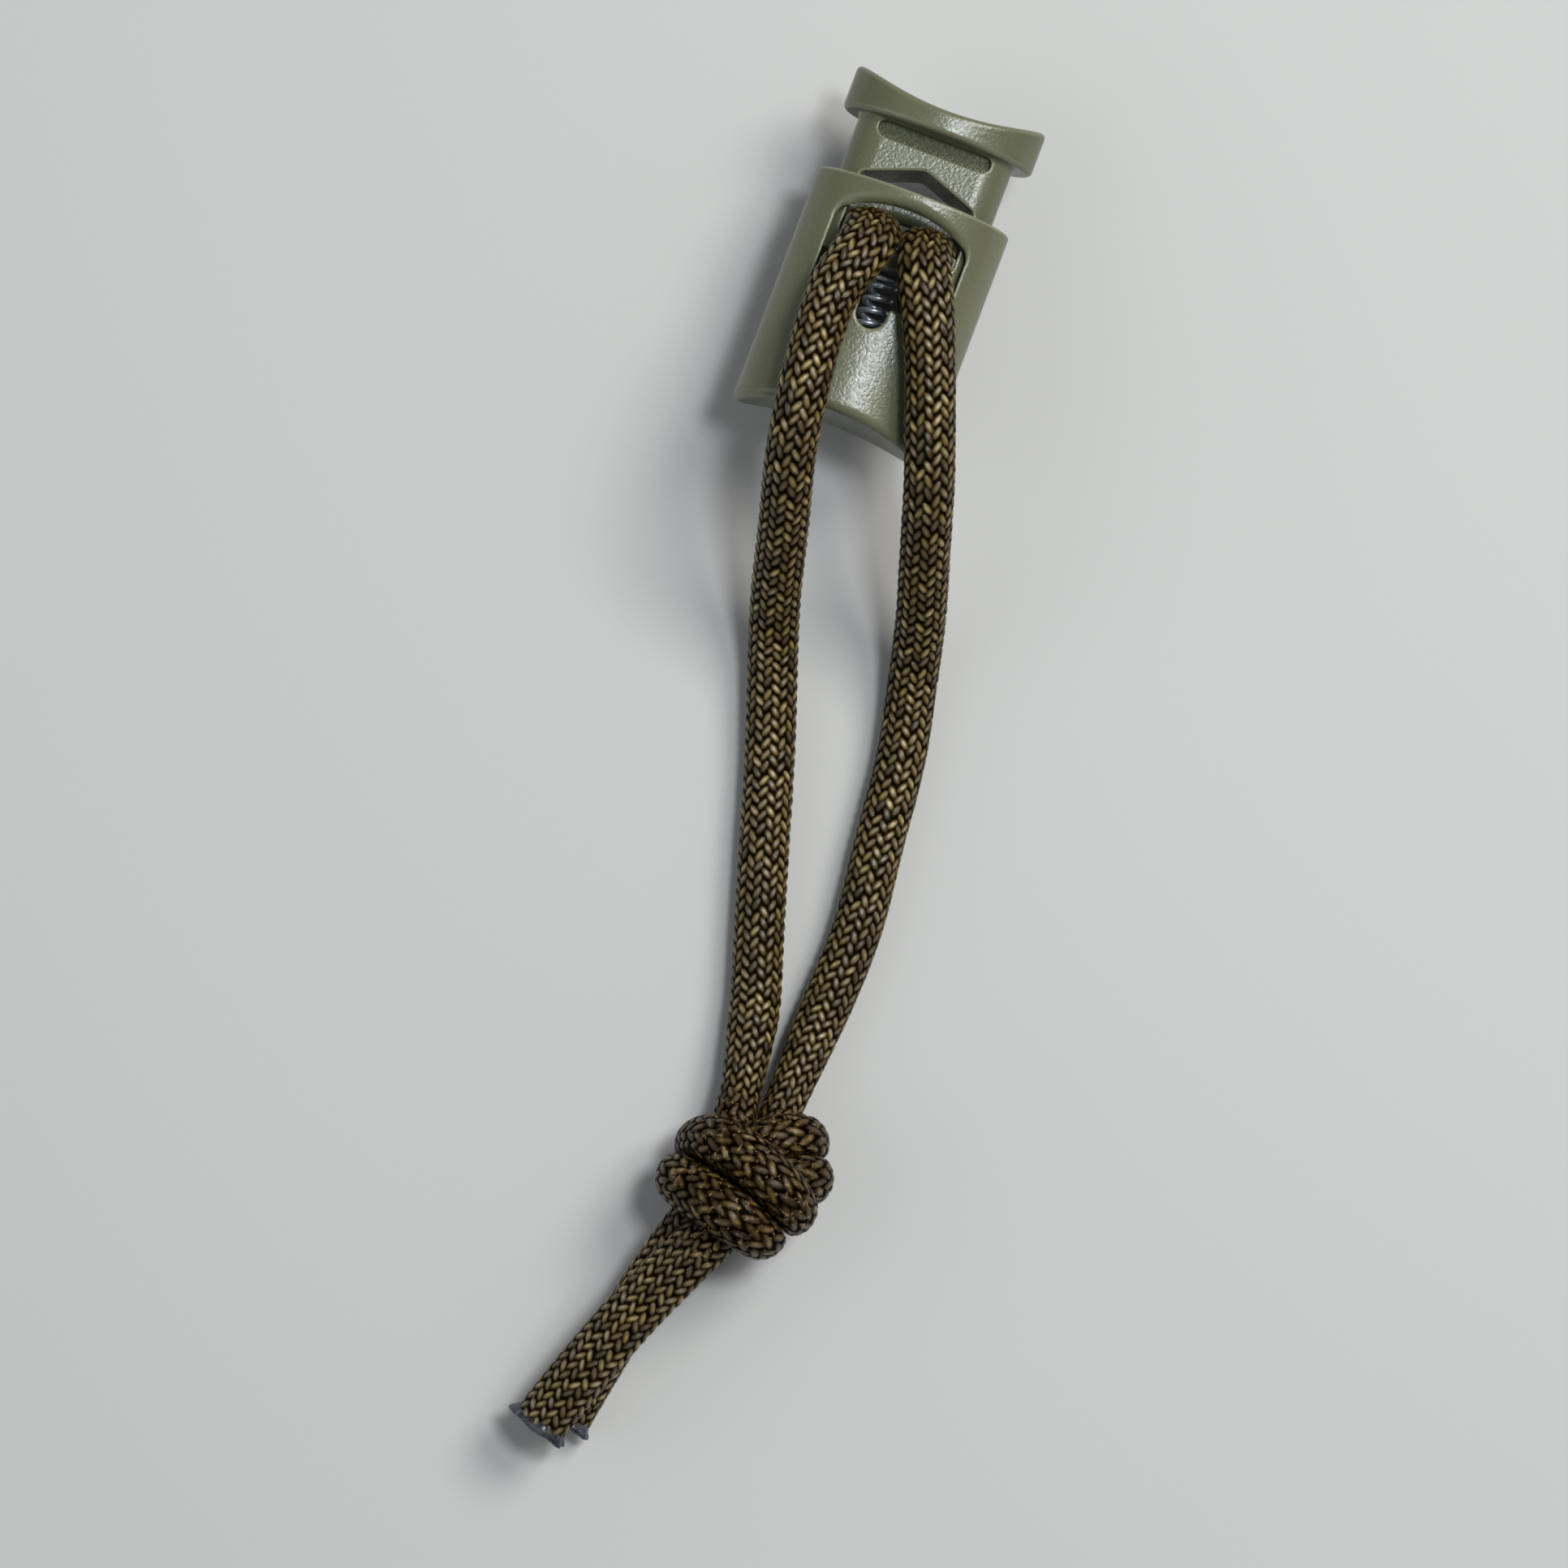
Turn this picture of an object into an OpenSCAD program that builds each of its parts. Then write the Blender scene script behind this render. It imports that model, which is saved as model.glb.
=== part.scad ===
// Cord lock: elliptical barrel body, sprung plunger and a braided cord through both, tied in one overhand knot.
// It lies on its back. +X is across the lock, +Y runs from the body to the plunger's cap, +Z is the lock's front.
// The origin is the centre of the clamped cord passage.

/* [Body] */
// width of the barrel
body_w = 16; // [12:0.5:24]
// thickness of the barrel
body_d = 10.4; // [8:0.2:16]
// top edge above the cord passage
body_top = 2.95; // [2:0.05:5]
// height of the barrel at its sides
body_h = 19.8; // [16:0.2:28]
// depth of the hollow in the barrel's closed end
end_dip = 1.5; // [0:0.1:2]
// radius of the rounding of the closed end
end_round = 0.8; // [0.4:0.1:2]

/* [Window] */
// width of the window
win_w = 10.9; // [8:0.1:14]
// top of the window's arch above the cord passage
arch_top = 1.55; // [1:0.05:3]
// radius of the arch
arch_r = 9.4; // [7:0.1:16]
// sill of the window, below the cord passage
sill = 6.35; // [5:0.05:9]
// width of the notch in the sill
notch_w = 2.4; // [1.6:0.1:4]
// depth of the notch below the sill
notch_h = 2; // [1:0.1:3]

/* [Plunger] */
// width of the cap
cap_w = 15.8; // [12:0.1:24]
// thickness of the cap
cap_d = 10.2; // [8:0.1:16]
// flat underside of the cap
cap_y = 8; // [7:0.05:12]
// height of the cap at its sides
cap_h = 3.7; // [2:0.1:6]
// depth of the hollow along the cap's top
cap_dip = 1.8; // [0:0.1:2.5]
// width of the neck
neck_w = 12.8; // [10:0.1:16]
// thickness of the neck
neck_d = 6.4; // [5:0.1:8]
// width of the plunger's window
gate_w = 9.4; // [7:0.1:11]
// top of the cross-bar, below the cord passage
bar_top = 1.55; // [1:0.05:3]
// height of the cross-bar
bar_h = 1.7; // [1:0.1:3]

/* [Spring] */
// outside diameter of the spring
spring_d = 2.4; // [2:0.1:4]
// wire diameter
wire_d = 0.45; // [0.3:0.05:0.8]
// bottom of the spring's bore, below the cord passage
bore_y = 14.05; // [12:0.05:18]
// turns of the spring
turns = 11; // [6:1:16]

/* [Cord] */
// diameter of the cord
cord_d = 4; // [3:0.1:5]
// height of a cord where the cross-bar grips it
grip_h = 2.6; // [2:0.1:4]
// width of a cord where it is gripped
grip_w = 4.5; // [4:0.1:5]
// diameter of a cord pulled tight inside the knot
knot_d = 3.2; // [2.6:0.1:4]
// length of the melted end of a tail
tip_h = 0.6; // [0.3:0.1:2]
// how much wider than its tail a melted end is
tip_flare = 1; // [0:0.1:2]

/* [Hidden] */
$fn = 48;
clear = 0.2;                       // running clearance of the neck in the barrel
body_end = body_top - body_h;      // closed end of the barrel
pocket_y = -8.85;                  // floor of the plunger's cavity
mid_x = 2.3;                       // gripped cords lie this far from the middle
lay = -7.25;                       // middle of a cord that lies on the surface below the lock
olive = [0.41, 0.42, 0.34];
olive_light = [0.44, 0.45, 0.37];
steel = [0.35, 0.38, 0.44];
cord_col = [0.45, 0.35, 0.18];
tip_col = [0.16, 0.18, 0.25];

// Points along the cord's two strands: [x, y, z, width, height]. A point without a size takes the
// size of its stretch.
function at(p, size) = len(p) > 3 ? p : [p[0], p[1], p[2], size[0], size[1]];
function sized(route, w, h) = [for (p = route) at(p, [w, h])];

// Squeezed between the cross-bar and the arch, from the back of the lock to its front.
function grip(s) = sized([
  [s * mid_x, -0.2, -4.8], [s * mid_x, -0.2, -3], [s * mid_x, -0.2, -1], [s * mid_x, -0.2, 1],
  [s * mid_x, -0.15, 2.9], [s * mid_x, -0.6, 4.5]], grip_w, grip_h);

// Over the front of the barrel, off its end and along the surface to the knot.
left_leg = sized([
  [-2.2, -2.4, 6.2, 4.4, 3.4], [-3.2, -5.5, 6.9, 4.2, 3.8], [-3.4, -9, 7.1], [-2.9, -14.5, 7],
  [-2.1, -19.5, 5.3], [-0.7, -24.5, 1.2], [0.6, -29.5, -3.5], [2.1, -34, -6.4], [4.5, -41, lay],
  [6.8, -48.5, lay], [8.8, -55, lay], [11, -62, -7], [12, -67, -5.7, 3.4, 3.4]], cord_d, cord_d);
right_leg = sized([
  [2.5, -2.4, 6.1, 4.4, 3.4], [4, -5.5, 6.7, 4.3, 3.8], [5.5, -9, 6.5], [7.2, -13.5, 5.8],
  [8.9, -18, 4.2], [10.4, -22.5, 0.8], [12.1, -27.5, -3.8], [13.3, -32.5, -6.6], [14.5, -38, lay],
  [15.2, -45, lay], [16, -52, lay], [15.8, -59, lay], [15.4, -64, -6.5, 3.6, 3.6],
  [15.4, -67.5, -5.5, 3.2, 3.2]], cord_d, cord_d);

// Round the overhand knot.
left_knot = sized([
  [12.7, -71, -5], [13.2, -73.5, -4.5], [15, -76, -3.5], [16.5, -76.7, -1.5], [16.9, -76.2, 0.5],
  [15.9, -75.3, 2], [14.1, -74.9, 2.5], [12, -75.2, 2], [10, -75.6, 0.5], [9.5, -76.2, -2],
  [10.2, -76.3, -4.5], [12, -76.3, -6.5], [14.5, -75.2, -7.5], [16.7, -73.9, -7.5], [18.2, -72.6, -6.5],
  [18.6, -71.4, -4.8], [17.8, -71.6, -2.8], [16.6, -72.9, -1.2], [15.2, -75.5, -0.5]], knot_d, knot_d);
right_knot = sized([
  [15.8, -70.5, -5], [16, -72.3, -4.5], [17.1, -73.6, -4], [18.5, -73.3, -2.5], [18.9, -72.3, 0],
  [17.7, -71.5, 1.5], [16, -71.2, 2], [14, -71.5, 1.5], [12.4, -72, 0], [11.2, -72, -2.5],
  [10.7, -72.6, -4.5], [11.2, -73, -7], [13.5, -72.3, -7.5], [16, -71.1, -7.5], [18.3, -69.2, -7],
  [20.2, -68.2, -4.5], [19, -68.2, -2.2], [16.5, -70.2, -1.3], [14, -72.8, -1.5], [12.3, -75.3, -1.5]],
  knot_d, knot_d);

// The cut tails, one lying on the other, and the melted last stretch of each.
left_tail = sized([
  [13.7, -78.5, -0.5], [10.9, -83, -1], [8.9, -88, -2.2], [7.4, -93, -3.4], [6.2, -97.2, -4]], 4.4, 3.4);
right_tail = sized([
  [11.3, -77.5, -1.8], [10.5, -81, -3.4], [9.8, -85, -5.2], [9.1, -89.5, -6.8], [8.5, -93, -7.5],
  [7.9, -96.4, -7.5]], 4, 3.4);
function beyond(p, q, far) = concat(xyz(q) + far * unit(xyz(q) - xyz(p)), [q[3] + tip_flare, q[4]]);
left_tip = beyond(left_tail[3], left_tail[4], tip_h);
right_tip = beyond(right_tail[4], right_tail[5], tip_h);

// Behind the lock the two strands are one cord, closed up here into a short bight.
bight_half = sized([
  [0, -12.5, lay], [3.4, -11.2, lay], [4.9, -8, lay], [4, -4.8, lay], [2.8, -1.8, -6.7]], cord_d, cord_d);

// A strand's route starts two points inside the bight, and the bight's ends three points inside the
// strands, so that both curves run the same way where they meet.
function flip(p) = [-p[0], p[1], p[2], p[3], p[4]];
into_right = [bight_half[3], bight_half[4]];
into_left = [for (p = into_right) flip(p)];
left = concat(into_left, grip(-1), left_leg, left_knot, left_tail, [left_tip]);
right = concat(into_right, grip(1), right_leg, right_knot, right_tail, [right_tip]);
bight = concat([for (i = [2:-1:0]) grip(-1)[i]], [for (i = [4:-1:1]) flip(bight_half[i])], bight_half,
  [for (i = [0:2]) grip(1)[i]]);

// Where one stretch of a strand ends and the next starts, counted in points.
grip_end = len(grip(1)) + 1;
left_ends = [2, grip_end, grip_end + len(left_leg), len(left) - len(left_tail) - 1, len(left) - 2];
right_ends = [2, grip_end, grip_end + len(right_leg), len(right) - len(right_tail) - 1, len(right) - 2];

// ---- profiles ----
module oval(w, d) polygon([for (i = [0:79]) let (a = i * 360 / 80) [w / 2 * cos(a), d / 2 * sin(a)]]);

module pill(w, d, r)
  for (sx = [-1, 1]) {
    translate([sx * (w / 2 - r), d / 2 - r]) circle(r);
    translate([sx * (w / 2 - r), r - d / 2]) circle(r);
  }

module block(w, d, r) {
  pill(w, d, r);
  square([w - 2 * r, d], center = true);
  square([w, d - 2 * r], center = true);
}

// Stands a profile in the XZ plane, from y0 up to y1.
module along_y(y0, y1) translate([0, y1, 0]) rotate([90, 0, 0]) linear_extrude(y1 - y0) children();

// Skin over equal rings of points. Both ends close flat, or the last end closes on a point.
module skin(rings, tip = undef) {
  n = len(rings[0]);
  m = len(rings);
  last = (m - 1) * n;
  polyhedron(
    points = [for (r = rings) each r, if (!is_undef(tip)) tip],
    faces = [
      [for (i = [n - 1:-1:0]) i],
      if (is_undef(tip)) [for (i = [0:n - 1]) last + i],
      if (!is_undef(tip)) for (i = [0:n - 1]) [last + i, last + (i + 1) % n, m * n],
      for (k = [0:m - 2], i = [0:n - 1]) let (j = (i + 1) % n, a = k * n, b = a + n)
        each [[a + i, a + j, b + j], [a + i, b + j, b + i]]
    ]);
}

// Upright oval from y0 to y1. Its end is hollowed across X by dip, and its rim is rounded by r.
module dished_oval(w, d, y0, y1, r, dip) {
  n = 64;
  function ring(g, down, f = 1) = [for (i = [0:n - 1]) let (a = i * 360 / n, x = f * (w / 2 - g) * cos(a))
    [x, y1 - dip * max(0, 1 - pow(x / (w / 2 - r), 2)) - down, f * (d / 2 - g) * sin(a)]];
  skin([
    [for (p = ring(0, 0)) [p[0], y0, p[2]]],
    for (i = [0:5]) ring(r * (1 - cos(i * 18)), r * (1 - sin(i * 18))),
    for (f = [0.75, 0.5, 0.25]) ring(r, 0, f)
  ], [0, y1 - dip, 0]);
}

// ---- body ----
module window_shape() {
  intersection() {
    translate([-win_w / 2, -sill]) square([win_w, sill + arch_top]);
    translate([0, arch_top - arch_r]) circle(arch_r, $fn = 160);
  }
  translate([0, -sill - notch_h + notch_w / 2]) circle(notch_w / 2);
  translate([-notch_w / 2, -sill - notch_h + notch_w / 2]) square([notch_w, notch_h]);
}

module body() color(olive) difference() {
  mirror([0, 1, 0]) dished_oval(body_w, body_d, -body_top, -body_end, end_round, end_dip);
  along_y(pocket_y, body_top + 1) block(neck_w + 2 * clear, neck_d + 2 * clear, 2.5);
  along_y(-bore_y, pocket_y + 1) circle(spring_d / 2 + clear);
  linear_extrude(body_d + 2, center = true) window_shape();
}

// ---- plunger ----
module gate_shape() {
  half = gate_w / 2;
  side_y = 3.3;
  polygon([[-half, -bar_top], [half, -bar_top], [half, side_y], [0.3, 4.97], [0.1, 5.02], [-0.1, 5.02],
    [-0.3, 4.97], [-half, side_y]]);
}

module barb() rotate([0, 90, 0]) rotate([0, 0, 90])
  linear_extrude(1.9, center = true) polygon([[-1.65, 3], [-1.65, 4.1], [-2.1, 4.1], [-3.2, 3]]);

module plunger() color(olive_light) {
  dished_oval(cap_w, cap_d, cap_y, cap_y + cap_h, 0.6, cap_dip);
  difference() {
    along_y(-bar_top - bar_h, cap_y + 0.5) block(neck_w, neck_d, 2.4);
    linear_extrude(neck_d + 2, center = true) gate_shape();
    for (s = [-1, 1]) translate([0, 7.25, s * neck_d / 2]) {
      cube([7.9, 1.45, 2], center = true);
      for (e = [-1, 1]) translate([e * 3.95, 0, 0]) cylinder(r = 0.725, h = 2, center = true);
    }
  }
  for (s = [0, 180]) rotate([0, s, 0]) barb();
}

// ---- spring ----
// Height of the wire's middle after t of its turns: the first and last turn lie flat.
function coil_y(t) = let (
    u = min(max((t - 1) / (turns - 2), 0), 1), e = wire_d / 2 + 0.02, lift = wire_d * 1.05,
    low = -bore_y + e, high = -bar_top - bar_h - e)
  low + min(t, 1) * lift + u * (high - low - 2 * lift) + max(t - turns + 1, 0) * lift;

module spring() color(steel) {
  r = (spring_d - wire_d) / 2;
  steps = 10;
  skin([for (k = [0:turns * steps]) let (t = k / steps, a = -t * 360)
    [for (i = [0:5]) let (q = i * 60, s = r + wire_d / 2 * cos(q))
      [s * cos(a), coil_y(t) + wire_d / 2 * sin(q), s * sin(a)]]]);
}

// ---- cord ----
function unit(v) = v / norm(v);
function xyz(p) = [p[0], p[1], p[2]];
function clip(i, n) = min(max(i, 0), n - 1);

// Point of a route after i points and the fraction t of the next span, on a curve through every point.
function along(p, i, t) = let (
    n = len(p), a = p[clip(i - 1, n)], b = p[i], c = p[clip(i + 1, n)], d = p[clip(i + 2, n)])
  b + 0.5 * t * (c - a + t * (2 * a - 5 * b + 4 * c - d + t * (3 * (b - c) + d - a)));
function heading(p, i, t) = let (n = len(p), e = 0.02, f = i + t)
  unit(xyz(spot(p, min(f + e, n - 1))) - xyz(spot(p, max(f - e, 0))));
function spot(p, f) = let (i = min(floor(f), len(p) - 2)) along(p, i, f - i);

// Sideways direction carried along the route without twisting.
function carried(dirs, start) = [for (i = 0, s = unit(start - (start * dirs[0]) * dirs[0]); i < len(dirs);
  i = i + 1, s = i < len(dirs) ? unit(s - (s * dirs[i]) * dirs[i]) : s) s];

// Tube along a route from its point number `from` to its point number `to`.
module cord(route, from, to, steps = 3, sides = 8) {
  places = [for (k = [0:(to - from) * steps]) from + k / steps];
  spots = [for (f = places) spot(route, f)];
  dirs = [for (f = places) let (i = min(floor(f), len(route) - 2)) heading(route, i, f - i)];
  side = carried(dirs, [1, 0, 0]);
  skin([for (k = [0:len(places) - 1]) let (s = side[k], u = cross(dirs[k], s), p = spots[k])
    [for (j = [0:sides - 1]) let (a = -j * 360 / sides)
      xyz(p) + p[3] / 2 * cos(a) * s + p[4] / 2 * sin(a) * u]]);
}

module cord_bight() color(cord_col) cord(bight, 2, len(bight) - 3);
module stretch(i, s) color(cord_col)
  if (s < 0) cord(left, left_ends[i], left_ends[i + 1]);
  else cord(right, right_ends[i], right_ends[i + 1]);
module melted(tail_end, tip) color(tip_col) cord([tail_end, tip], 0, 1, 1);

body();
plunger();
spring();
cord_bight();
stretch(0, -1);  // cord_grip_left
stretch(0, 1);  // cord_grip_right
stretch(1, -1);  // cord_leg_left
stretch(1, 1);  // cord_leg_right
stretch(2, -1);  // cord_knot_left
stretch(2, 1);  // cord_knot_right
stretch(3, -1);  // cord_tail_left
stretch(3, 1);  // cord_tail_right
melted(left_tail[4], left_tip);  // cord_tip_left
melted(right_tail[5], right_tip);  // cord_tip_right
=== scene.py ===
"""A cord lock lying on its back, with two strands of braided cord through it that are tied in one knot.

Lengths in this script are in millimetres until a mesh is made; `MM` turns them into metres.
"""

import math

import bpy
import numpy as np
import openvdb
from mathutils import Matrix, Vector


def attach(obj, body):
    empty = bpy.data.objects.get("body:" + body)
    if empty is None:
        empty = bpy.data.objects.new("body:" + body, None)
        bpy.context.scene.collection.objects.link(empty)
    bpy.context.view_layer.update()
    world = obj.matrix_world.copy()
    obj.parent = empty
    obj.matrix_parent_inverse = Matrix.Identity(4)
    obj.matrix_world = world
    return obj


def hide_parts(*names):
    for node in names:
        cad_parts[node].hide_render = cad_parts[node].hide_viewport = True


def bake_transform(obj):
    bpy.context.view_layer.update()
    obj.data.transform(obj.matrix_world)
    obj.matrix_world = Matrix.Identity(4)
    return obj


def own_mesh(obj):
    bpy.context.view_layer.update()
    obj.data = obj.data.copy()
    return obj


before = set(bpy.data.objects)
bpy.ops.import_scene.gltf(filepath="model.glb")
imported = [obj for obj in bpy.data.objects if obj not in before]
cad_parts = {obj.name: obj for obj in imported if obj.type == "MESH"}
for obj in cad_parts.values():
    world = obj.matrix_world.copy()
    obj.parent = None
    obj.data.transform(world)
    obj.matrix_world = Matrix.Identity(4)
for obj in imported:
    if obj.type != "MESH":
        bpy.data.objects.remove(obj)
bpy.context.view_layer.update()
MM = 0.001
FLOOR = -9.25  # the surface that the cord lies on

# ---------------------------------------------------------------- camera

LEAN = math.radians(20.6)  # the lock's own up leans this far to the right in the picture
TIP = math.radians(3.6)  # the camera looks up the lock this much, and more at its cap
AIM = Vector((6.5, -43.5, -2)) * MM
DISTANCE = 0.5
FOCAL_LENGTH = 146
NEAREST_SEEN = 0.01


def make_camera():
    cam = bpy.data.objects.new("camera", bpy.data.cameras.new("camera"))
    bpy.context.scene.collection.objects.link(cam)
    back = Vector((0, -math.sin(TIP), math.cos(TIP)))
    right = Vector((math.cos(LEAN), math.sin(LEAN), 0))
    right = (right - right.dot(back) * back).normalized()
    turn = Matrix((right, back.cross(right), back)).transposed().to_4x4()
    cam.matrix_world = Matrix.Translation(AIM + back * DISTANCE) @ turn
    cam.data.lens = FOCAL_LENGTH
    cam.data.clip_start = NEAREST_SEEN
    bpy.context.scene.camera = cam


make_camera()

# ---------------------------------------------------------------- materials


class Shader:
    """A material with one Principled shader, and short ways to add nodes to it."""

    def __init__(self, name, **sockets):
        self.material = bpy.data.materials.new(name)
        self.material.use_nodes = True
        self.nodes = self.material.node_tree.nodes
        self.links = self.material.node_tree.links
        self.principled = self.nodes["Principled BSDF"]
        self.place = self.nodes.new("ShaderNodeTexCoord").outputs["Object"]
        for name, value in sockets.items():
            self.principled.inputs[name.replace("_", " ")].default_value = value

    def node(self, kind, inputs=(), **settings):
        n = self.nodes.new("ShaderNode" + kind)
        for name, value in settings.items():
            setattr(n, name, value)
        for name, value in dict(inputs).items():
            if isinstance(value, bpy.types.NodeSocket):
                self.links.new(value, n.inputs[name])
            else:
                n.inputs[name].default_value = value
        return n

    def noise(self, size_mm, detail):
        """Noise whose lumps are about that wide."""
        inputs = {"Vector": self.place, "Scale": 1000 / size_mm, "Detail": detail, "Roughness": 0.55}
        return self.node("TexNoise", inputs).outputs["Fac"]

    def spread(self, value, low, high, from_low=0.3, from_high=0.7):
        """The value moved from its own range to low to high, and held there."""
        inputs = {"Value": value, "From Min": from_low, "From Max": from_high, "To Min": low, "To Max": high}
        return self.node("MapRange", inputs).outputs[0]

    def product(self, a, b):
        return self.node("Math", {0: a, 1: b}, operation="MULTIPLY").outputs[0]

    def attribute(self, name):
        return self.node("Attribute", attribute_name=name).outputs["Fac"]

    def ramp(self, value, *stops):
        n = self.node("ValToRGB", {"Fac": value})
        while len(n.color_ramp.elements) < len(stops):
            n.color_ramp.elements.new(0.5)
        for element, (at, colour) in zip(n.color_ramp.elements, stops):
            element.position = at
            element.color = (*colour, 1)
        return n.outputs["Color"]

    def mix(self, fac, a, b, how="MIX"):
        n = self.nodes.new("ShaderNodeMix")
        n.data_type = "RGBA"
        n.blend_type = how
        for index, value in ((0, fac), (6, a), (7, b)):
            if isinstance(value, bpy.types.NodeSocket):
                self.links.new(value, n.inputs[index])
            else:
                n.inputs[index].default_value = value if index == 0 else (*value, 1)
        return n.outputs[2]

    def bump(self, height, depth_mm, strength=1.0, under=None):
        inputs = {"Height": height, "Distance": depth_mm * MM, "Strength": strength}
        if under is not None:
            inputs["Normal"] = under
        return self.node("Bump", inputs).outputs["Normal"]

    def put(self, **sockets):
        for name, value in sockets.items():
            self.links.new(value, self.principled.inputs[name.replace("_", " ")])
        return self.material


def moulded_plastic(name, colour):
    """Olive acetal with a fine spark-eroded grain, and a painted highlight where edges curve outward."""
    s = Shader(name, Specular_IOR_Level=0.6)
    grain = s.noise(0.25, detail=1)
    lumps = s.noise(1.6, detail=2)
    patch = s.noise(5, detail=2)
    base = s.mix(s.spread(patch, 0, 1), [c * 0.93 for c in colour], [c * 1.06 for c in colour])
    # painted highlight: paler colour where the surface curves outward, standing in for light caught by
    # rounded edges
    edge_highlight = s.spread(s.attribute("edge"), 0.0, 0.6, 0.8, 4.5)
    base = s.mix(edge_highlight, base, [min(1, c * 1.7 + 0.05) for c in colour])
    normal = s.bump(grain, 0.035, 0.8, s.bump(lumps, 0.03, 0.1))
    return s.put(Base_Color=base, Roughness=s.spread(grain, 0.24, 0.34), Normal=normal)


def spring_wire():
    s = Shader("spring_wire", Metallic=0.8)
    drawn = s.noise(0.35, detail=5)
    colour = s.ramp(drawn, (0.3, (0.72, 0.79, 0.9)), (0.7, (0.92, 0.96, 1.0)))
    return s.put(Base_Color=colour, Roughness=s.spread(drawn, 0.3, 0.42), Normal=s.bump(drawn, 0.01, 0.3))


def braided_nylon():
    """Coyote nylon, with painted shade between the picks and a painted highlight where their filaments catch
    the light.
    """
    s = Shader("braided_nylon")
    crown, tone, tight = s.attribute("crown"), s.attribute("tone"), s.attribute("tight")
    in_pick = {"X": s.attribute("along"), "Y": s.attribute("across"), "Z": tone}
    strand = s.node("CombineXYZ", in_pick).outputs[0]
    stretched = s.node("Mapping", {"Vector": strand, "Scale": (1.2, 13, 40)}).outputs[0]
    filaments = {"Vector": stretched, "Scale": 1, "Detail": 3, "Roughness": 0.6}
    fibre = s.node("TexNoise", filaments).outputs["Fac"]
    # painted shade in the grooves between picks and a painted highlight on their crowns, set by each pick's
    # height
    colour = s.ramp(
        crown,
        (0.0, (0.007, 0.004, 0.001)), (0.45, (0.042, 0.027, 0.006)),
        (0.82, (0.155, 0.113, 0.031)), (1.0, (0.38, 0.31, 0.165)),
    )
    varied = s.mix(s.spread(tone, 0, 1, 0, 1), (0.4, 0.34, 0.26), (1.7, 1.65, 1.6))
    colour = s.mix(1.0, colour, varied, "MULTIPLY")
    colour = s.mix(s.spread(fibre, 0.75, 0, 0.35, 0.65), colour, (0.4, 0.36, 0.3), "MULTIPLY")
    # Round the knot the stretched sheath is duller and loose filaments break up its picks; pale specks there
    # are painted glints.
    loose = s.noise(0.42, detail=2)
    broken = s.product(s.spread(loose, 0, 0.85, 0.5, 0.62), tight)
    colour = s.mix(broken, colour, (0.4, 0.33, 0.22), "MULTIPLY")
    # painted highlight: pale glints scattered round the knot
    glint = s.product(s.spread(loose, 0.6, 0, 0.33, 0.39), tight)
    colour = s.mix(glint, colour, (0.42, 0.33, 0.19))
    # darker in large blotches round the knot
    darker_blotches = s.product(s.spread(s.noise(3.2, detail=1), 1, 0.4), tight)
    colour = s.mix(darker_blotches, colour, (0.66, 0.52, 0.36), "MULTIPLY")
    gloss = s.product(s.spread(crown, 0.02, 1.0, 0.3, 0.95), s.spread(tight, 1, 0.4, 0, 1))
    return s.put(
        Base_Color=colour,
        Roughness=s.spread(fibre, 0.42, 0.24, 0.35, 0.65),
        Normal=s.bump(fibre, 0.08, 0.9),
        Specular_IOR_Level=gloss,
    )


def melted_nylon():
    s = Shader("melted_nylon", Specular_IOR_Level=0.7)
    blobs = s.noise(0.6, detail=3)
    colour = s.ramp(blobs, (0.35, (0.008, 0.009, 0.013)), (0.65, (0.045, 0.05, 0.072)))
    return s.put(Base_Color=colour, Roughness=s.spread(blobs, 0.15, 0.4), Normal=s.bump(blobs, 0.15, 0.8))


def pale_floor():
    return Shader("pale_floor", Base_Color=(0.56, 0.555, 0.545, 1), Roughness=0.85).material


# ---------------------------------------------------------------- meshes


def add_mesh(name, points, faces, material, attributes=()):
    """Mesh object from points in millimetres and a list of arrays of faces with equal corners."""
    mesh = bpy.data.meshes.new(name)
    sizes = np.concatenate([np.full(len(f), f.shape[1]) for f in faces])
    corners = np.concatenate([f.ravel() for f in faces]).astype(np.int32)
    mesh.vertices.add(len(points))
    mesh.vertices.foreach_set("co", (points * MM).astype(np.float32).ravel())
    mesh.loops.add(len(corners))
    mesh.loops.foreach_set("vertex_index", corners)
    mesh.polygons.add(len(sizes))
    mesh.polygons.foreach_set("loop_start", np.concatenate([[0], np.cumsum(sizes)[:-1]]).astype(np.int32))
    mesh.polygons.foreach_set("use_smooth", np.ones(len(sizes), bool))
    mesh.update(calc_edges=True)
    mesh.validate()
    for key, values in dict(attributes).items():
        mesh.attributes.new(key, "FLOAT", "POINT").data.foreach_set("value", values.astype(np.float32))
    mesh.materials.append(material)
    obj = bpy.data.objects.new(name, mesh)
    bpy.context.scene.collection.objects.link(obj)
    return obj


def tube_faces(rings, around):
    """Quads between rings of points that follow each other."""
    k = np.arange(rings - 1)[:, None] * around
    i = np.arange(around)[None]
    j = (i + 1) % around
    return np.stack([k + i, k + j, k + around + j, k + around + i], -1).reshape(-1, 4)


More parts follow.
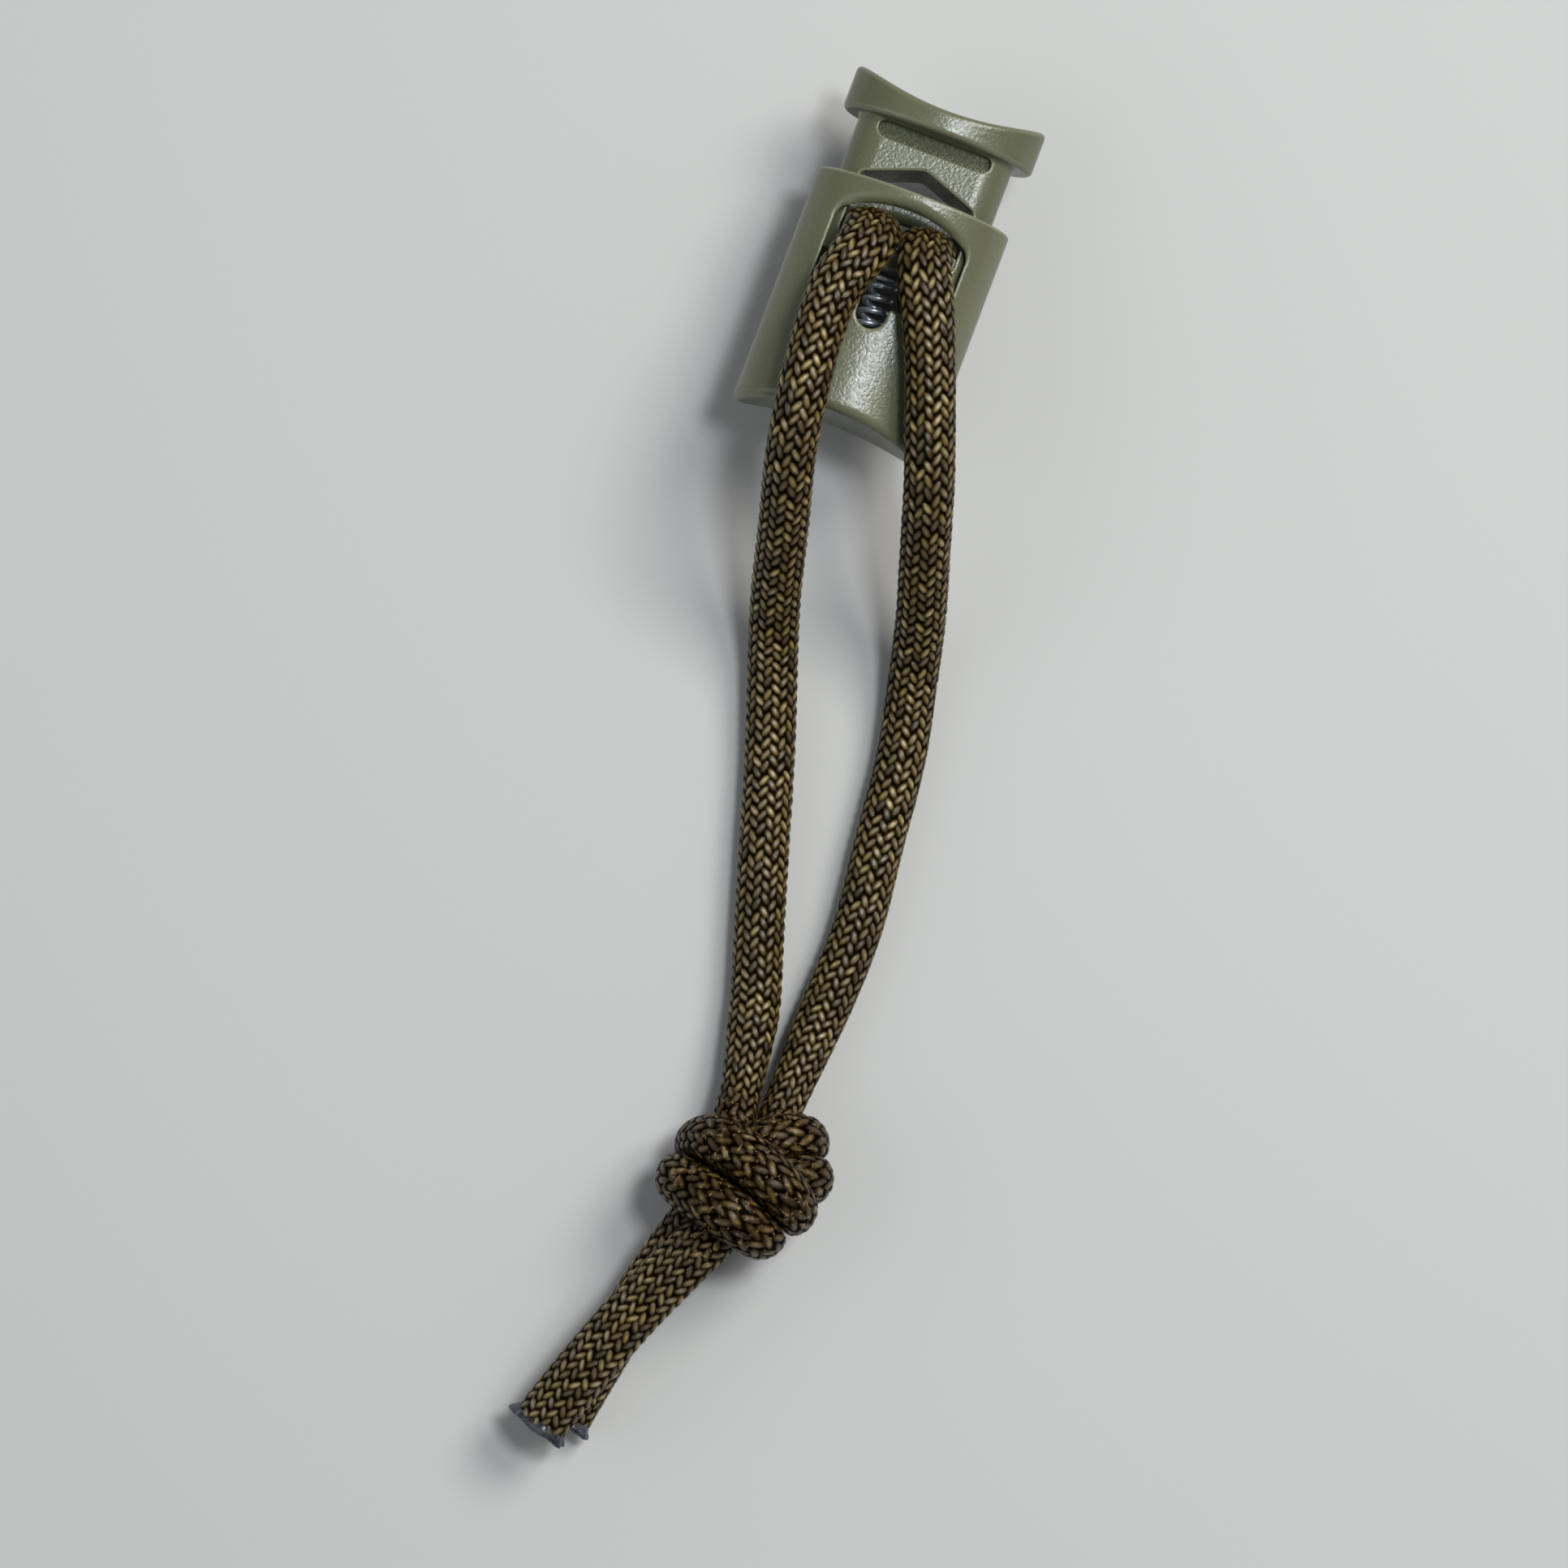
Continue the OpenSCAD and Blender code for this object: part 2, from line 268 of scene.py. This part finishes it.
def add_tube(name, rings, material, attributes=()):
    """Closed tube over rings of points, an array (rings, around, 3) in millimetres."""
    n, around = rings.shape[:2]
    points = np.concatenate([rings.reshape(-1, 3), rings[:1].mean(1), rings[-1:].mean(1)])
    i = np.arange(around)
    j = (i + 1) % around
    last = (n - 1) * around
    caps = np.concatenate([
        np.stack([j, i, np.full(around, n * around)], -1),
        np.stack([last + i, last + j, np.full(around, n * around + 1)], -1),
    ])
    values = {
        key: np.concatenate([v.ravel(), v[:1].mean(1), v[-1:].mean(1)]) for key, v in dict(attributes).items()
    }
    return add_mesh(name, points, [tube_faces(n, around), caps], material, values)


# Distances to shapes, negative inside, in millimetres.
def oval(x, z, a, b):
    near = np.hypot(x / a, z / b) + 1e-6
    return near * (near - 1) / (np.hypot(x / a**2, z / b**2) + 1e-6 / b)


def block(x, z, half_w, half_d, r):
    qx, qz = np.abs(x) - (half_w - r), np.abs(z) - (half_d - r)
    return np.hypot(np.maximum(qx, 0), np.maximum(qz, 0)) + np.minimum(np.maximum(qx, qz), 0) - r


def both(a, b, r):
    """What is in a and in b, with the edge between them rounded by r."""
    return np.minimum(np.maximum(a, b), -r) + np.hypot(np.maximum(a + r, 0), np.maximum(b + r, 0))


def join(a, b, r):
    return -both(-a, -b, r)


def cut(a, b, r):
    return both(a, -b, r)


SLOPE_STEP = 0.01  # how far apart a distance is read to find its slope
BEND_STEP = 0.12  # and to find how it bends
SHARPEST = 9  # a stronger bend than this gets no painted edge highlight


def add_solid(name, shape, low, high, step, material):
    """Mesh of the surface where shape(x, y, z) is 0, inside the box from low to high.

    Its attribute `edge` says how sharply the surface curves outward there.
    """
    axes = [np.arange(a - 2 * step, b + 2 * step, step) for a, b in zip(low, high)]
    field = shape(*np.meshgrid(*axes, indexing="ij", sparse=True))
    grid = openvdb.FloatGrid(background=3 * step)
    grid.copyFromArray(np.clip(field, -3 * step, 3 * step).astype(np.float32))
    points, quads = grid.convertToQuads(isovalue=0)
    points = points.astype(float) * step + [a[0] for a in axes]
    for _ in range(2):  # bring every point onto the surface itself
        d = shape(*points.T)
        slope = np.stack([(shape(*(points + SLOPE_STEP * v).T) - d) / SLOPE_STEP for v in np.eye(3)], 1)
        points -= slope * (np.clip(d, -step, step) / np.maximum((slope**2).sum(1), 0.25))[:, None]
    near = sum(shape(*(points + side * BEND_STEP * v).T) for v in np.eye(3) for side in (-1, 1))
    bend = (near - 6 * shape(*points.T)) / BEND_STEP**2
    quads = quads.astype(np.int64)
    a, b, c = (points[quads[:, k]] for k in (0, 1, 2))
    if (np.cross(a, b) * c).sum() < 0:
        quads = quads[:, ::-1]
    return add_mesh(name, points, [quads], material, {"edge": np.where(bend < SHARPEST, bend, 0)})


# ---------------------------------------------------------------- the lock

BODY_TOP, BODY_END = 2.95, -16.85
BODY_HALF = (8.0, 5.2)
CAP_UNDER, CAP_TOP = 8.0, 11.7
CAP_HALF = (7.9, 5.1)
BAR = (-3.25, -1.55)
BORE_END = -14.05
BORE_RADIUS = 1.4
GATE_LEAN = math.radians(21)
STEP = 0.1


def window(x, y):
    """The barrel's opening under its shallow arch, with the notch that shows the spring."""
    opening = both(block(x, y + 1.4, 5.45, 4.95, 0.7), np.hypot(x, y - 1.55 + 9.4) - 9.4, 0.5)
    notch = np.hypot(x, y - np.clip(y, -7.15, -5)) - 1.2
    return join(opening, notch, 0.35)


def body_shape(x, y, z):
    side = oval(x, z, *BODY_HALF)
    end = (BODY_END + 1.5 * (1 - (x / 8) ** 2) - y) * 0.96
    shell = both(both(side, end, 0.8), y - BODY_TOP, 0.25)
    shell = cut(shell, np.maximum(block(x, z, 6.6, 3.4, 2.5), -8.85 - y), 0.3)
    shell = np.maximum(shell, -np.maximum(np.hypot(x, z) - BORE_RADIUS, BORE_END - y))
    edge = 0.22 + 0.7 * np.clip((y + 1) / 2, 0, 1)  # the arch is rounded more than the sill
    return cut(shell, window(x, y), edge)


def plunger_shape(x, y, z):
    cap = both(oval(x, z, *CAP_HALF), (y - CAP_TOP + 1.8 * (1 - (x / 7.9) ** 2)) * 0.95, 0.45)
    cap = both(cap, CAP_UNDER - y, 0.45)
    neck = both(both(block(x, z, 6.4, 3.2, 2.4), BAR[0] - y, 0.3), y - 9, 0.1)
    roof = (y - 5.15) * math.cos(GATE_LEAN) + np.hypot(x, 0.35) * math.sin(GATE_LEAN)
    gate = both(both(np.abs(x) - 4.7, BAR[1] - y, 0.25), roof, 0.3)
    neck = cut(neck, gate, 0.25)
    slot = np.hypot(x - np.clip(x, -3.95, 3.95), y - 7.25) - 0.725
    rough = 0.1 * np.sin(15 * x + 2 * np.sin(3.7 * y)) * np.sin(14 * y + 1.9 * np.sin(4.3 * x))
    neck = cut(neck, np.maximum(slot, 2.25 + rough - np.abs(z)), 0.12)
    ramp = (np.abs(z) - 3 - (y + 3.2)) * 0.707
    barb = both(both(both(np.abs(x) - 0.95, np.abs(z) - 4.1, 0.12), y + 1.65, 0.1), ramp, 0.1)
    barb = both(barb, BAR[0] - y, 0.05)  # it ends with the cross-bar, clear of the spring
    return np.minimum(join(cap, neck, 0.35), barb)


def add_spring(material):
    """Compression spring with its two end turns closed, between the bore and the cross-bar."""
    turns, wire, radius = 11, 0.45, 0.975
    t = np.linspace(0, turns, turns * 48 + 1)
    low, high = BORE_END + wire / 2 + 0.02, BAR[0] - wire / 2 - 0.06
    lift = wire * 1.05
    rise = low + np.minimum(t, 1) * lift + np.clip((t - 1) / (turns - 2), 0, 1) * (high - low - 2 * lift)
    rise = rise + np.maximum(t - turns + 1, 0) * lift
    a = t * 2 * np.pi
    centre = np.stack([radius * np.cos(a), rise, -radius * np.sin(a)], 1)
    out = np.stack([np.cos(a), 0 * a, -np.sin(a)], 1)
    q = np.linspace(0, 2 * np.pi, 17)[:-1]
    rings = centre[:, None] + wire / 2 * (
        np.cos(q)[None, :, None] * out[:, None] - np.sin(q)[None, :, None] * np.array([0, 1, 0])
    )
    return add_tube("spring_coil", rings, material)


olive = moulded_plastic("olive_body", (0.127, 0.13, 0.075))
olive_plunger = moulded_plastic("olive_plunger", (0.109, 0.113, 0.063))
body = add_solid("lock_barrel", body_shape, (-8, BODY_END, -5.2), (8, BODY_TOP, 5.2), STEP, olive)
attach(body, "lock")
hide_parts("body")

plunger = add_solid(
    "lock_plunger", plunger_shape, (-7.9, BAR[0], -5.1), (7.9, CAP_TOP, 5.1), STEP, olive_plunger
)
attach(plunger, "push")
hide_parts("plunger")

spring = add_spring(spring_wire())
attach(spring, "lock")
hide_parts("spring")
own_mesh(spring)

# ---------------------------------------------------------------- the cord

CORD = 4.0
KNOT = 4.4  # the cord spreads where the knot squeezes it
LAY = FLOOR + CORD / 2
KNOT_TOP = -60  # the knot lies below this height


def sized(points, w, h):
    """Points with the cord's width and height there, where a point doesn't say its own."""
    return [(*p, w, h) if len(p) == 3 else p for p in points]


def grip(s):
    """The stretch that the plunger grips, on the side s, from the back of the lock to its front."""
    return sized([(s * 2.3, -0.2, -4.8), (s * 2.3, -0.2, -3), (s * 2.3, -0.2, -1), (s * 2.3, -0.2, 1),
                  (s * 2.3, -0.15, 2.9), (s * 2.3, -0.6, 4.5)], 4.5, 2.6)


LEFT_LEG = sized([
    (-2.2, -2.4, 6.2, 4.4, 3.4), (-3.2, -5.5, 6.9, 4.2, 3.8), (-3.4, -9, 7.1), (-2.9, -14.5, 7),
    (-2.1, -19.5, 5.3), (-0.7, -24.5, 1.2), (0.6, -29.5, -3.5), (2.1, -34, -6.4), (4.5, -41, LAY),
    (6.8, -48.5, LAY), (8.8, -55, LAY), (11, -62, -7), (12, -67, -5.7, 3.4, 3.4)
], CORD, CORD)
RIGHT_LEG = sized([
    (2.5, -2.4, 6.1, 4.4, 3.4), (4, -5.5, 6.7, 4.3, 3.8), (5.5, -9, 6.5), (7.2, -13.5, 5.8),
    (8.9, -18, 4.2), (10.4, -22.5, 0.8), (12.1, -27.5, -3.8), (13.3, -32.5, -6.6), (14.5, -38, LAY),
    (15.2, -45, LAY), (16, -52, LAY), (15.8, -59, LAY), (15.4, -64, -6.5, 3.6, 3.6),
    (15.4, -67.5, -5.5, 3.4, 3.4)
], CORD, CORD)
LEFT_KNOT = sized([
    (12.7, -71, -5), (13.2, -73.5, -4.5), (15, -76, -3.5), (16.5, -76.7, -1.5), (16.9, -76.2, 0.5),
    (15.9, -75.3, 2), (14.1, -74.9, 2.5), (12, -75.2, 2), (10, -75.6, 0.5), (9.5, -76.2, -2),
    (10.2, -76.3, -4.5), (12, -76.3, -6.5), (14.5, -75.2, -7.5), (16.7, -73.9, -7.5), (18.2, -72.6, -6.5),
    (18.6, -71.4, -4.8), (17.8, -71.6, -2.8), (16.6, -72.9, -1.2), (15.2, -75.5, -0.5)
], KNOT, KNOT)
RIGHT_KNOT = sized([
    (15.8, -70.5, -5), (16, -72.3, -4.5), (17.1, -73.6, -4), (18.5, -73.3, -2.5), (18.9, -72.3, 0),
    (17.7, -71.5, 1.5), (16, -71.2, 2), (14, -71.5, 1.5), (12.4, -72, 0), (11.2, -72, -2.5),
    (10.7, -72.6, -4.5), (11.2, -73, -7), (13.5, -72.3, -7.5), (16, -71.1, -7.5), (18.3, -69.2, -7),
    (20.2, -68.2, -4.5), (19, -68.2, -2.2), (16.5, -70.2, -1.3), (14, -72.8, -1.5), (12.3, -75.3, -1.5)
], KNOT, KNOT)
LEFT_TAIL = sized([
    (13.7, -78.5, -0.5), (10.9, -83, -1), (8.9, -88, -2.2), (7.4, -93, -3.4), (6.2, -97.2, -4)
], 4.4, 3.4)
RIGHT_TAIL = sized([
    (11.3, -77.5, -1.8), (10.5, -81, -3.4), (9.8, -85, -5.2), (9.1, -89.5, -6.8), (8.5, -93, -7.5),
    (7.9, -96.4, -7.5)
], 4, 3.4)
BIGHT_HALF = sized([
    (0, -12.5, LAY), (3.4, -11.2, LAY), (4.9, -8, LAY), (4, -4.8, LAY), (2.8, -1.8, -6.7)
], CORD, CORD)
LEFT = grip(-1) + LEFT_LEG + LEFT_KNOT + LEFT_TAIL
RIGHT = grip(1) + RIGHT_LEG + RIGHT_KNOT + RIGHT_TAIL
BIGHT = ([grip(-1)[1], grip(-1)[0]] + [(-p[0], *p[1:]) for p in BIGHT_HALF[:0:-1]] + BIGHT_HALF
         + [grip(1)[0], grip(1)[1]])


def curve_through(points, steps=8):
    """Smooth curve through every point, as the solids' tubes follow it."""
    p = np.array(points, float)
    p = np.concatenate([p[:1], p, p[-1:]])
    t = np.arange(steps)[:, None] / steps
    parts = []
    for a, b, c, d in zip(p, p[1:], p[2:], p[3:]):
        parts.append(b + 0.5 * t * (c - a + t * (2 * a - 5 * b + 4 * c - d + t * (3 * (b - c) + d - a))))
    return np.concatenate([*parts, p[-1:]])


def walked(p):
    return np.concatenate([[0], np.cumsum(np.linalg.norm(np.diff(p[:, :3], axis=0), axis=1))])


def evenly(p, gap):
    s = walked(p)
    t = np.linspace(0, s[-1], max(4, round(s[-1] / gap) + 1))
    return np.stack([np.interp(t, s, p[:, k]) for k in range(p.shape[1])], 1)


def settle(strands, apart=2.8, gap=1.0, rounds=260):
    """Pulls the knot snug: each strand shortens a little, and stretches stay about `apart` apart."""
    for n in range(rounds):
        if n % 15 == 0:
            strands = [evenly(p, gap) for p in strands]
        sizes = [len(p) for p in strands]
        p = np.concatenate(strands)
        owner = np.repeat([0, 1], sizes)
        place = np.concatenate([np.arange(k) for k in sizes])
        free = np.clip((KNOT_TOP - p[:, 1]) / 6, 0, 1)
        for k, size in enumerate(sizes):
            free[(owner == k) & (place > size - 4)] = 0
        pull = np.zeros((len(p), 3))
        inner = (owner[:-2] == owner[2:])[:, None]
        pull[1:-1] = np.where(inner, p[:-2, :3] + p[2:, :3] - 2 * p[1:-1, :3], 0)
        p[:, :3] += 0.1 * pull * free[:, None]
        for _ in range(3):
            away = p[:, None, :3] - p[None, :, :3]
            dist = np.linalg.norm(away, axis=2) + 1e-9
            beside = (owner[:, None] == owner) & (np.abs(place[:, None] - place) * gap < 1.5 * apart)
            close = (dist < apart) & ~beside
            push = np.where(close, (apart - dist) / dist, 0)
            count = np.maximum(close.sum(1), 1)
            p[:, :3] += (push[:, :, None] * away).sum(1) * (0.5 * free / count**0.6)[:, None]
            p[:, 2] = np.where(free > 0, np.maximum(p[:, 2], FLOOR + p[:, 4] / 2 - 0.1), p[:, 2])
        strands = np.split(p, [sizes[0]])
    return strands


def smoothed(p, times):
    for _ in range(times):
        p = np.concatenate([p[:1], 0.25 * p[:-2] + 0.5 * p[1:-1] + 0.25 * p[2:], p[-1:]])
    return p


def frames(p):
    """Direction, sideways and upward unit vectors along a line, carried without twist from X."""
    ahead = np.gradient(p[:, :3], axis=0)
    ahead /= np.linalg.norm(ahead, axis=1)[:, None]
    side = np.zeros_like(ahead)
    s = np.array([1.0, 0, 0])
    for k, d in enumerate(ahead):
        s = s - (s @ d) * d
        s /= np.linalg.norm(s)
        side[k] = s
    return ahead, side, np.cross(ahead, side)


COLUMNS = 18  # columns of picks round the sheath
COLUMN_WIDTH = 0.73
PICK = 1.0  # distance between picks in a column
PICK_HALF = (0.64, 0.32)  # half a pick's length and width
LEAN_OF_PICKS = 0.63
RELIEF = (0.21, 0.13)  # height of the picks on the free cord and round the knot
RING_GAP = 0.12
AROUND = 120


def picks(s, turn):
    """The braid at distance s along the cord and angle turn (0 to 1) round it.

    Each pick is a leaning bundle of filaments. Neighbouring columns lean opposite ways, half a pick
    apart. The result is the picks' height, their tone, and the place in a pick, for every point.
    """
    height, tone, along, across = (np.zeros(s.shape) for _ in range(4))
    column = np.floor(turn * COLUMNS)
    for col in (column - 1, column, column + 1):
        lean = np.where(col % 2 == 0, 1.0, -1.0)
        beside = (turn * COLUMNS - col - 0.5) * COLUMN_WIDTH
        shift = np.where(col % 2 == 0, 0, 0.5)
        row = np.floor(s / PICK - shift)
        for near in (row, row + 1, row - 1):
            code = np.abs(np.sin((col % COLUMNS) * 12.9898 + near * 78.233) * 43758.5453) % 1
            stray = (code * 7.13) % 1 - 0.5
            ahead = s - (near + shift + 0.2 * (code - 0.5)) * PICK
            angle = (LEAN_OF_PICKS + 0.3 * stray) * lean
            c, d = np.cos(angle), np.sin(angle)
            a, b = ahead * c + beside * d, beside * c - ahead * d
            h = np.clip(1 - np.abs(a / PICK_HALF[0]) ** 2.4 - np.abs(b / PICK_HALF[1]) ** 2, 0, 1) ** 0.7
            h = h * (0.92 + 0.16 * stray)
            top = h > height
            height, tone = np.where(top, h, height), np.where(top, code, tone)
            along, across = np.where(top, a, along), np.where(top, b, across)
    return {"crown": height, "tone": tone, "along": along, "across": across}


FAR = 9.0  # further than any ring reaches


def squeezed(p, directions, own, others):
    """How far each ring may reach in each direction: to the middle between it and any other stretch."""
    reach = np.full(directions.shape[:2], FAR)
    s = walked(p)
    for k in range(len(p)):
        for number, q, at in others:
            v = q[:, :3] - p[k, :3]
            d2 = (v**2).sum(1)
            near = d2 < 4.6**2
            if number == own:
                near &= np.abs(at - s[k]) > 4.5
            if not near.any():
                continue
            v, d2 = v[near], d2[near]
            toward = directions[k] @ v.T
            limit = np.where(toward > 0.05, d2 / 2 / np.maximum(toward, 0.05), FAR).min(1)
            reach[k] = np.minimum(reach[k], limit)
    return reach


def add_cord(name, line, material, number=0, others=()):
    """Braided tube along a line of [x, y, z, width, height], flat where it meets the other stretches."""
    p = evenly(line, RING_GAP)
    p[:, :3] = smoothed(p[:, :3], 12)
    _, side, up = frames(p)
    turn = np.arange(AROUND) / AROUND
    a = -turn * 2 * np.pi
    directions = np.cos(a)[None, :, None] * side[:, None] + np.sin(a)[None, :, None] * up[:, None]
    w, h = p[:, 3, None] / 2, p[:, 4, None] / 2
    radius = w * h / np.hypot(h * np.cos(a), w * np.sin(a))
    if len(others):
        reach = squeezed(p, directions, number, others) - 0.02
        radius = (radius**-7 + reach**-7) ** (-1 / 7)
    braid = picks(np.repeat(walked(p)[:, None], AROUND, 1), np.repeat(turn[None], len(p), 0))
    tight = np.interp(p[:, 1], [-82, -79, -69, -66], [0, 1, 1, 0])[:, None]
    relief = RELIEF[0] - (RELIEF[0] - RELIEF[1]) * tight  # the sheath is flatter and darker round the knot
    braid["tone"] = braid["tone"] * (1 - 0.45 * tight)
    braid["tight"] = np.repeat(tight, AROUND, 1)
    rings = p[:, None, :3] + directions * (radius + relief * (braid["crown"] - 0.7))[:, :, None]
    rings[:, :, 2] = np.maximum(rings[:, :, 2], FLOOR + 0.02)
    obj = add_tube(name, rings, material, braid)
    return obj, p


def add_tip(name, p, material, seed):
    """Melted end of a tail: a thin uneven lip that flares out past the sheath."""
    ahead, side, up = (v[-1] for v in frames(p))
    around = 64
    a = -np.arange(around) / around * 2 * np.pi
    wave = 1 + 0.05 * np.sin(3 * a + seed) + 0.04 * np.sin(7 * a + 2 * seed) + 0.02 * np.sin(13 * a + seed)
    w, h = p[-1, 3] / 2, p[-1, 4] / 2
    rings = []
    for along, wide, high in ((-0.45, 0.97, 0.95), (-0.1, 1.06, 0.98), (0.15, 1.17, 1.0), (0.38, 1.2, 0.98),
                              (0.5, 1.08, 0.85), (0.42, 0.8, 0.6), (0.34, 0.3, 0.25)):
        uneven = 0.07 * np.sin(5 * a + 3 * seed) * (along > 0.1)
        rings.append(p[-1, :3] + (along + uneven)[:, None] * ahead + wave[:, None] * (
            w * wide * np.cos(a)[:, None] * side + h * high * np.sin(a)[:, None] * up))
    rings = np.array(rings)
    rings[:, :, 2] = np.maximum(rings[:, :, 2], FLOOR + 0.02)
    return add_tube(name, rings, material)


nylon, melted = braided_nylon(), melted_nylon()
strands = settle([curve_through(LEFT), curve_through(RIGHT)])
strands = [np.concatenate([smoothed(p[:, :3], 2), p[:, 3:]], 1) for p in strands]
strands = [curve_through(p, 4) for p in strands]
knots = []
for k, q in enumerate(evenly(p, 0.5) for p in strands):
    low = q[:, 1] < KNOT_TOP
    knots.append((k, q[low], walked(q)[low]))

for k, side_name in enumerate(("left", "right")):
    tube, line = add_cord("cord_" + side_name, strands[k], nylon, k, knots)
    tip = add_tip("melted_tip_" + side_name, line, melted, 1.0 + 2 * k)
    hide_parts(*(f"cord_{part}_{side_name}" for part in ("grip", "leg", "knot", "tail")))
    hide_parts("cord_tip_" + side_name)
    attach(tip, "lock")
    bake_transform(tube)

tube, line = add_cord("cord_bight_loop", curve_through(BIGHT)[8:-8], nylon)
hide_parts("cord_bight")
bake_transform(tube)

# ---------------------------------------------------------------- floor and light


FLOOR_HALF = 3000


def add_floor():
    corners = ((-1, -1), (1, -1), (1, 1), (-1, 1))
    points = np.array([(x * FLOOR_HALF, y * FLOOR_HALF, FLOOR) for x, y in corners], float)
    add_mesh("floor", points, [np.array([[0, 1, 2, 3]])], pale_floor())


def add_light(name, place, size, power, colour=(1, 1, 1)):
    """Square area light, in metres and watts, aimed at the object."""
    light = bpy.data.lights.new(name, "AREA")
    light.size = size
    light.energy = power
    light.color = colour
    obj = bpy.data.objects.new(name, light)
    obj.location = place
    obj.rotation_euler = (AIM - Vector(place)).to_track_quat("-Z", "Y").to_euler()
    bpy.context.scene.collection.objects.link(obj)


def add_sky():
    world = bpy.data.worlds.new("sky")
    bpy.context.scene.world = world
    world.use_nodes = True
    background = world.node_tree.nodes["Background"].inputs
    background["Color"].default_value = (0.9, 0.95, 1, 1)
    background["Strength"].default_value = 0.2


add_floor()
add_light("key", (0.25, 0.33, 0.55), 0.28, 3.0, (1, 0.98, 0.94))
add_light("sheen", (0.11, 0.08, 0.56), 0.1, 1.4, (0.9, 0.97, 1))
add_light("fill", (-0.5, -0.3, 0.5), 0.6, 0.8, (0.92, 0.96, 1))
add_sky()
bpy.context.scene.view_settings.view_transform = "Standard"
